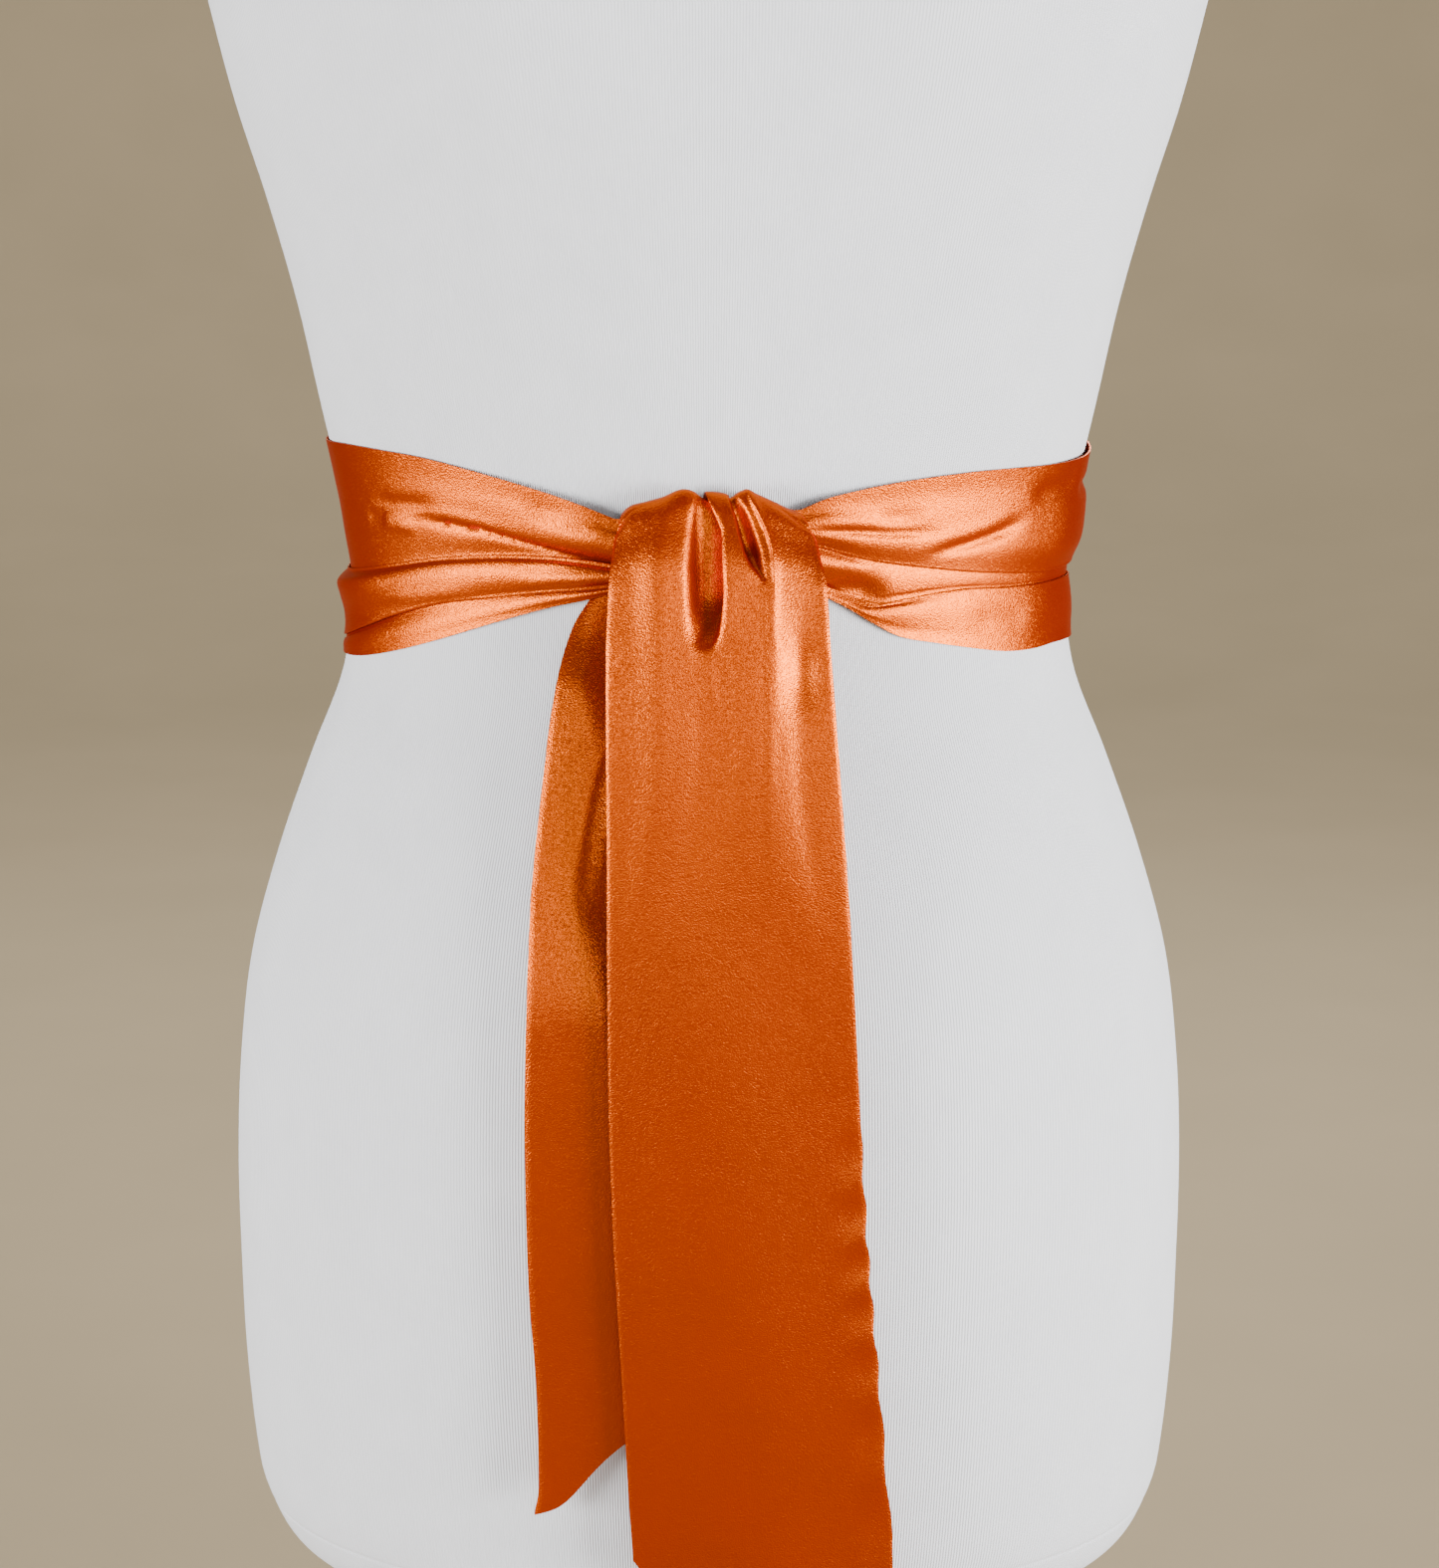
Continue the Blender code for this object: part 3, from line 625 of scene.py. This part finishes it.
def build_loop(material):
    """The three stretches of the loop, which start and end a little behind the knot."""
    first = KNOT_TURN - KNOT_OVERLAP
    far_side = FULL_TURN - SIDE_TURN
    last = FULL_TURN - KNOT_TURN + KNOT_OVERLAP
    gap = SEAM_HALF_TURN
    stretches = (
        ("satin_band_left", "sash_band_left", first, SIDE_TURN - gap, 150, (0.09, 0.148)),
        ("satin_band_back", "sash_band_back", SIDE_TURN + gap, far_side - gap, 200, (0.09, 0.32)),
        ("satin_band_right", "sash_band_right", far_side + gap, last, 150, (0.09, 0.148)),
    )
    for name, node, start, stop, count, flat in stretches:
        turn = np.linspace(start, stop, count)
        section = loop_sections(turn)
        out = section[..., 0]
        z = section[..., 1]
        along = turn[:, None] * TURN_LENGTH + 0 * z
        for path, width, depth, sharp in LOOP_CREASES:
            out = out - crease(turn[:, None] + 0 * z, z, path, width, depth, sharp)
        out = out + ripple(along, z)
        out = np.maximum(out, LOOP_LEAST_CLEAR)
        grid = form_point(turn[:, None], z, out)
        piece = cloth_piece(name, grid[:, ::-1], along, material)
        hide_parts(node)


# The knot and the tails

KNOT_ROWS = 70
KNOT_COLUMNS = 90

# The knot's yarns run round it as round a tube of this radius, in metres
YARN_RADIUS = 0.02
YARN_LENGTH = 30


def build_knot(material):
    """The turns of cloth that show at the knot's ends, wound over its hidden core."""
    across = np.linspace(KNOT.keys[0], KNOT.keys[-1], KNOT_ROWS)[:, None]
    angle = np.linspace(0, 2 * math.pi, KNOT_COLUMNS, endpoint=False)[None, :]
    # Five broad folds and nine fine ones wind round the knot
    wound = 1 + 0.05 * np.sin(5 * angle + across / 5.0) + 0.03 * np.sin(9 * angle - across / 4.0)
    y = KNOT.at(across, "y") + KNOT.at(across, "half_y") * np.cos(angle) * wound
    z = KNOT.at(across, "z") + KNOT.at(across, "half_z") * np.sin(angle) * wound
    grid = np.stack([across + 0 * y, y, z], axis=-1)
    faces = tube_faces(KNOT_ROWS, KNOT_COLUMNS)
    uv = np.stack([angle + 0 * y, across / YARN_LENGTH + 0 * y], axis=2).reshape(-1, 2) * YARN_RADIUS
    piece = new_piece("satin_knot", grid.reshape(-1, 3), faces, material, uv)
    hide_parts("sash_knot")


def front_rails(step):
    """Places across and pushes of the front tail's lines, for each step along it."""
    z = FRONT_TAIL.at(step, "z")
    key = np.where(step > FRONT_CREST_STEP, z, RAIL_HEIGHTS[-1])
    left = FRONT_TAIL.at(step, "left")
    right = FRONT_TAIL.at(step, "right")
    crest_left = FRONT_TAIL.at(FRONT_CREST_STEP, "left")
    crest_right = FRONT_TAIL.at(FRONT_CREST_STEP, "right")
    behind = np.clip((FRONT_CREST_STEP - step) / BEHIND_STEPS, 0, 1)
    fade = ease((RAIL_HEIGHTS[0] - z) / RAIL_FADE) * (step > FRONT_CREST_STEP)
    curl = FRONT_TAIL.at(step, "curl")
    places = [left, left + SELVEDGE]
    pushes = [curl + RIM_CURL, curl * SELVEDGE_CURL]
    count = len(RAIL_ROWS)
    for i, (_, xs, ins) in enumerate(RAIL_ROWS):
        rail = Table("z x push", tuple(zip(RAIL_HEIGHTS, xs, ins)))
        x = rail.at(key, "x")
        narrowed = left + (right - left) * (x - crest_left) / (crest_right - crest_left)
        x = np.where(step < FRONT_CREST_STEP, narrowed, x)
        even = left + (right - left) * (i + 1.5) / (count + 2)
        x = x + (even - x) * fade
        push = rail.at(key, "push") * (1 - fade) * (1 - behind)
        share = (x - left) / (right - left)
        places.append(x)
        pushes.append(push + curl * np.abs(2 * share - 1) ** 3)
    places += [right - SELVEDGE, right]
    pushes += [curl * SELVEDGE_CURL, curl + RIM_CURL]
    return np.stack([np.stack(places, axis=1), np.stack(pushes, axis=1)], axis=2)


def edge_pucker(from_right, z):
    """Puckers along the front tail's lower right edge, from -1 to 1."""
    near_edge = ease(1 - from_right / PUCKER_WIDE) * ease((PUCKER_FROM - z) / PUCKER_GROW)
    wander = PUCKER_WANDER * np.sin(z / PUCKER_WANDER_WAVE)
    return near_edge * np.sin((z + PUCKER_LEAN * from_right) / PUCKER_WAVE + wander)


def build_front_tail(material):
    """The tail that rolls over the knot, with its pleats, its puckered edge and its diagonal hem."""
    # Rows lie closest from step 3 to step 9, where the tail turns over the knot
    steps = np.concatenate([
        np.linspace(0, 3, 30)[:-1],
        np.linspace(3, 9, 120)[:-1],
        np.linspace(9, FRONT_LAST_STEP, 130),
    ])
    section = curve_through(front_rails(steps), SECTION_STEPS)
    x = section[..., 0]
    push = section[..., 1]
    y = FRONT_TAIL.at(steps, "y")[:, None]
    z = FRONT_TAIL.at(steps, "z")[:, None]
    run_y = np.gradient(y[:, 0], steps)
    run_z = np.gradient(z[:, 0], steps)
    length = np.hypot(run_y, run_z)
    in_y = (-run_z / length)[:, None]
    in_z = (run_y / length)[:, None]
    crest = np.maximum(0.0, 1.0 - np.abs(steps - CREST_AT) / CREST_REACH)[:, None]
    left = FRONT_TAIL.at(steps, "left")[:, None]
    hem = (np.maximum(0.0, (steps - FRONT_HEM_FROM) / (FRONT_LAST_STEP - FRONT_HEM_FROM)) ** 2)[:, None]
    drop = hem * (HEM_SLOPE * (x - left) - CORNER_ROUND * bell(x - left, CORNER_WIDE))
    from_right = FRONT_TAIL.at(steps, "right")[:, None] - x
    pucker = edge_pucker(from_right, z)
    wave = WAVE_DEEP * np.sin(x / WAVE_ACROSS + z / WAVE_ALONG) * ease((WAVE_FROM - z) / WAVE_GROW)
    dimple = DIMPLE_DEEP * bell(x - DIMPLE_X, DIMPLE_WIDE) * bell(z - DIMPLE_Z, DIMPLE_TALL)
    push = push + PUCKER_DEEP * pucker + wave + dimple
    place_x = x + PUCKER_OUT * pucker * ease(1 - from_right / PUCKER_OUT_WIDE)
    place_z = z + in_z * push + CREST.at(x, "rise") * crest - drop
    grid = np.stack([place_x, y + in_y * push, place_z], axis=-1)
    path = np.cumsum(np.hypot(np.diff(y[:, 0]), np.diff(z[:, 0])))
    along = np.concatenate([[0], path])[:, None] + drop
    piece = cloth_piece("satin_tail_front", grid, along, material)
    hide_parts("sash_tail_front")


def build_rear_tail(material):
    """The tail that hangs behind the front one, with its deep fold and its diagonal hem."""
    z = np.linspace(REAR_TOP, REAR_TIP, 200)[:, None]
    share = np.linspace(0, 1, 90)[None, :]
    left = REAR_TAIL.at(z, "left")
    width = REAR_TAIL.at(z, "right") - left
    hem = np.maximum(0.0, (REAR_HEM_FROM - z) / (REAR_HEM_FROM - REAR_TIP)) ** 2
    x = left + share * width
    sag = TIP_SAG * bell(share * width - TIP_SAG_AT, TIP_SAG_WIDE)
    lifted = z + hem * (HEM_SLOPE * share * width - sag)
    inside = x - REAR_POCKET.at(z, "x")
    pocket = REAR_POCKET.at(z, "depth") * ease(inside / REAR_POCKET.at(z, "soft"))
    higher = ease((z - REAR_ROLL_FOOT) / REAR_ROLL_GROW)
    roll = REAR_ROLL * bell(inside + REAR_ROLL_ASIDE, REAR_ROLL_WIDE) * higher
    hollow = REAR_HOLLOW.at(z, "depth") * ease((x - REAR_HOLLOW.at(z, "x")) / REAR_HOLLOW.at(z, "soft"))
    shown = 1 - ease((x - REAR_HIDDEN) / REAR_FADE)
    swing = REAR_SWING * share * ease(-z / REAR_SWING_GROW)
    curl = REAR_CURL * (1 - share) ** 3
    push = (np.maximum(pocket, hollow) + roll) * shown + swing + curl
    push = push + REAR_RIM * bell(x - left, REAR_RIM_WIDE)
    x = x - TIP_HOOK * bell(z - REAR_TIP, TIP_HOOK_TALL) * ease(1 - share * width / TIP_HOOK_WIDE)
    hang = REAR_TAIL.at(z, "hang") + push
    rest = -(form_reach(x, lifted) + CLOTH + FORM_CLEAR)
    grid = np.stack([x, np.minimum(hang, rest), lifted], axis=-1)
    piece = cloth_piece("satin_tail_rear", grid, -lifted, material)
    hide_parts("sash_tail_rear")


# Materials

def node(tree, kind, **values):
    """A shader node with its inputs, or its own settings, set by name."""
    made = tree.nodes.new(kind)
    for name, value in values.items():
        if name in made.inputs:
            made.inputs[name].default_value = value
        else:
            setattr(made, name, value)
    return made


def new_material(name, **values):
    """A material whose main shader's inputs are set by name."""
    material = bpy.data.materials.new(name)
    material.use_nodes = True
    shader = material.node_tree.nodes["Principled BSDF"]
    for socket, value in values.items():
        shader.inputs[socket.replace("_", " ")].default_value = value
    return material, material.node_tree, shader


def noise(tree, scale, detail, stretch=(1, 1, 1)):
    """Noise in the object's own space, in features per metre, stretched along an axis."""
    place = node(tree, "ShaderNodeTexCoord")
    mapping = node(tree, "ShaderNodeMapping", Scale=stretch)
    tree.links.new(place.outputs["Object"], mapping.inputs["Vector"])
    made = node(tree, "ShaderNodeTexNoise", Scale=scale, Detail=detail)
    tree.links.new(mapping.outputs["Vector"], made.inputs["Vector"])
    return made


def add_bump(tree, shader, height, strength, distance, before=None):
    bump = node(tree, "ShaderNodeBump", Strength=strength, Distance=distance)
    tree.links.new(height, bump.inputs["Height"])
    if before:
        tree.links.new(before.outputs["Normal"], bump.inputs["Normal"])
    tree.links.new(bump.outputs["Normal"], shader.inputs["Normal"])
    return bump


def ramp(tree, factor, low, high, start=0.3, end=0.7):
    made = node(tree, "ShaderNodeValToRGB")
    made.color_ramp.elements[0].position = start
    made.color_ramp.elements[0].color = (*low, 1)
    made.color_ramp.elements[1].position = end
    made.color_ramp.elements[1].color = (*high, 1)
    tree.links.new(factor, made.inputs["Fac"])
    return made


def colour_between(tree, shader, factor, low, high):
    """The base colour wanders between two tones as the factor does."""
    colour = ramp(tree, factor, low, high)
    tree.links.new(colour.outputs["Color"], shader.inputs["Base Color"])


def satin_material():
    """Orange satin: a deep red-orange body under a broad orange sheen that runs with the yarns."""
    material, tree, shader = new_material(
        "orange satin",
        Roughness=0.33,
        IOR=2.4,
        Specular_IOR_Level=1.0,
        Specular_Tint=(1.0, 0.18, 0.0, 1.0),
        Anisotropic=0.3,
    )
    shade = noise(tree, 30.0, 3.0)
    colour_between(tree, shader, shade.outputs["Fac"], (0.11, 0.0, 0.0), (0.125, 0.0, 0.0))
    grain = noise(tree, 2200.0, 0.0)
    soft = add_bump(tree, shader, grain.outputs["Fac"], 0.7, 0.0002)
    cockle = noise(tree, 140.0, 2.0)
    add_bump(tree, shader, cockle.outputs["Fac"], 0.12, 0.0004, soft)
    tangent = node(tree, "ShaderNodeTangent", direction_type="UV_MAP", uv_map="cloth")
    tree.links.new(tangent.outputs["Tangent"], shader.inputs["Tangent"])
    return material


JERSEY_RIBS = 800.0


def jersey_material():
    """White jersey with fine upright ribs, stretched smooth; its base colour darkens in the rib troughs
    as painted shade.
    """
    material, tree, shader = new_material("white jersey", Roughness=0.92, Sheen_Weight=0.15)
    place = node(tree, "ShaderNodeTexCoord")
    parts = node(tree, "ShaderNodeSeparateXYZ")
    tree.links.new(place.outputs["Object"], parts.inputs["Vector"])
    turn = node(tree, "ShaderNodeMath", operation="ARCTAN2")
    tree.links.new(parts.outputs["X"], turn.inputs[0])
    tree.links.new(parts.outputs["Y"], turn.inputs[1])
    ribs = node(tree, "ShaderNodeMath", operation="MULTIPLY")
    ribs.inputs[1].default_value = JERSEY_RIBS
    tree.links.new(turn.outputs["Value"], ribs.inputs[0])
    wave = node(tree, "ShaderNodeMath", operation="SINE")
    tree.links.new(ribs.outputs["Value"], wave.inputs[0])
    first = add_bump(tree, shader, wave.outputs["Value"], 0.7, 0.00014)
    fuzz = noise(tree, 900.0, 3.0, (1, 1, 0.4))
    add_bump(tree, shader, fuzz.outputs["Fac"], 0.2, 0.00015, first)
    shade = noise(tree, 60.0, 4.0)
    colour = ramp(tree, shade.outputs["Fac"], (0.60, 0.61, 0.64), (0.63, 0.64, 0.67))
    # Painted shade: the base colour is darkened in the troughs of the ribs, following the same wave as
    # the rib bump.
    painted_rib_shade = ramp(tree, wave.outputs["Value"], (0.94, 0.94, 0.94), (1.0, 1.0, 1.0), 0.0, 0.6)
    mixed = node(tree, "ShaderNodeMix", data_type="RGBA", blend_type="MULTIPLY")
    mixed.inputs["Factor"].default_value = 1.0
    tree.links.new(colour.outputs["Color"], mixed.inputs["A"])
    tree.links.new(painted_rib_shade.outputs["Color"], mixed.inputs["B"])
    tree.links.new(mixed.outputs["Result"], shader.inputs["Base Color"])
    return material


def wood_material():
    material, tree, shader = new_material("pale wood", Roughness=0.45, Coat_Weight=0.2)
    grain = noise(tree, 45.0, 6.0, (1, 9, 1))
    colour_between(tree, shader, grain.outputs["Fac"], (0.42, 0.25, 0.13), (0.66, 0.46, 0.28))
    add_bump(tree, shader, grain.outputs["Fac"], 0.2, 0.0003)
    return material


def paint_material():
    material, tree, shader = new_material("white paint", Roughness=0.38)
    speck = noise(tree, 260.0, 4.0)
    colour_between(tree, shader, speck.outputs["Fac"], (0.74, 0.74, 0.72), (0.80, 0.80, 0.78))
    add_bump(tree, shader, speck.outputs["Fac"], 0.15, 0.0002)
    return material


def steel_material():
    material, tree, shader = new_material("brushed steel", Metallic=1.0)
    brush = noise(tree, 300.0, 4.0, (0.1, 0.1, 4))
    colour_between(tree, shader, brush.outputs["Fac"], (0.52, 0.52, 0.53), (0.68, 0.68, 0.68))
    rough = ramp(tree, brush.outputs["Fac"], (0.28, 0.28, 0.28), (0.42, 0.42, 0.42))
    tree.links.new(rough.outputs["Color"], shader.inputs["Roughness"])
    return material


def floor_material():
    material, tree, shader = new_material("pale floor", Roughness=0.9, Specular_IOR_Level=0.2)
    shade = noise(tree, 6.0, 5.0)
    colour_between(tree, shader, shade.outputs["Fac"], (0.36, 0.285, 0.175), (0.38, 0.30, 0.185))
    return material


def finish_stand(wood, paint, steel):
    """The plain pieces under and over the form keep their solids and get real finishes."""
    for name, material in (("neck_cap", wood), ("stand_base", paint), ("stand_stem", steel)):
        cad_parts[name].data.materials.clear()
        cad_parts[name].data.materials.append(material)


# Stage, lights and camera, in metres, degrees and watts

STAGE_RADIUS = 4.0
STAGE_SEGMENTS = 96
STAGE_PROFILE = ((2.2, 0.0), (2.8, 0.1), (3.3, 0.35), (3.7, 0.8), (STAGE_RADIUS, 1.5))
WORLD_COLOUR = (0.93, 0.95, 1.0, 1)
WORLD_STRENGTH = 0.1
WAIST = (0, 0, 0.5)

# Area lights: name, place, what it faces, width, height, power and spread
LIGHTS = (
    ("key", (0.35, -2.6, 0.98), WAIST, 1.9, 0.4, 3.5, 60),
    ("window_right", (2.0, -1.15, 0.5), WAIST, 1.9, 0.8, 62, 100),
    ("panel_left", (-2.0, -1.15, 0.48), WAIST, 1.9, 0.75, 46, 100),
    ("back_fill", (0.4, 2.6, 1.5), WAIST, 1.8, 0.7, 12.6, 70),
    ("floor_behind", (0, 1.3, 2.3), (0, 3.4, 0.4), 3.0, 1.0, 58, 180),
)
CAMERA_DISTANCE = 1.2
CAMERA_PITCH = 12.5
CAMERA_RISE = 0.19897
CAMERA_ASIDE = 0.0038357
FOCAL_PIXELS = 3478.6
LONG_SIDE_PIXELS = 1575
SENSOR = 36.0
CLIP_START = 0.01


def build_stage():
    """A level floor whose far rim curves up gently, so that it fills the view behind the form."""
    segments = STAGE_SEGMENTS
    points = []
    for radius, height in STAGE_PROFILE:
        for i in range(segments):
            angle = 2 * math.pi * i / segments
            points.append((radius * math.cos(angle), radius * math.sin(angle), height))
    faces = [tuple(range(segments))]
    for ring in range(len(STAGE_PROFILE) - 1):
        for i in range(segments):
            j = (i + 1) % segments
            a = ring * segments
            faces.append((a + i, a + segments + i, a + segments + j, a + j))
    mesh = bpy.data.meshes.new("floor")
    mesh.from_pydata(points, [], faces)
    mesh.materials.append(floor_material())
    mesh.shade_smooth()
    floor = add_object("floor", mesh)


def add_area_light(name, place, target, width, height, power, spread):
    """A soft rectangular light that faces a target, with its beam kept within the spread."""
    light = bpy.data.lights.new(name, "AREA")
    light.shape = "RECTANGLE"
    light.size = width
    light.size_y = height
    light.energy = power
    light.spread = math.radians(spread)
    lamp = add_object(name, light)
    lamp.location = place
    lamp.rotation_euler = (Vector(target) - Vector(place)).to_track_quat("-Z", "Y").to_euler()


def build_lights():
    world = bpy.data.worlds.new("studio")
    world.use_nodes = True
    background = world.node_tree.nodes["Background"]
    background.inputs["Color"].default_value = WORLD_COLOUR
    background.inputs["Strength"].default_value = WORLD_STRENGTH
    bpy.context.scene.world = world
    for light in LIGHTS:
        add_area_light(*light)


def build_camera():
    camera = bpy.data.cameras.new("camera")
    camera.sensor_fit = "VERTICAL"
    camera.sensor_width = SENSOR
    camera.sensor_height = SENSOR
    camera.lens = FOCAL_PIXELS / LONG_SIDE_PIXELS * SENSOR
    camera.clip_start = CLIP_START
    holder = add_object("camera", camera)
    holder.location = (CAMERA_ASIDE, -CAMERA_DISTANCE, WAIST_HEIGHT * MM + CAMERA_RISE)
    holder.rotation_euler = (math.radians(90 - CAMERA_PITCH), 0, 0)
    bpy.context.scene.camera = holder


build_camera()
build_stage()
build_lights()
build_form(jersey_material())
finish_stand(wood_material(), paint_material(), steel_material())
satin = satin_material()
build_loop(satin)
build_knot(satin)
build_front_tail(satin)
build_rear_tail(satin)
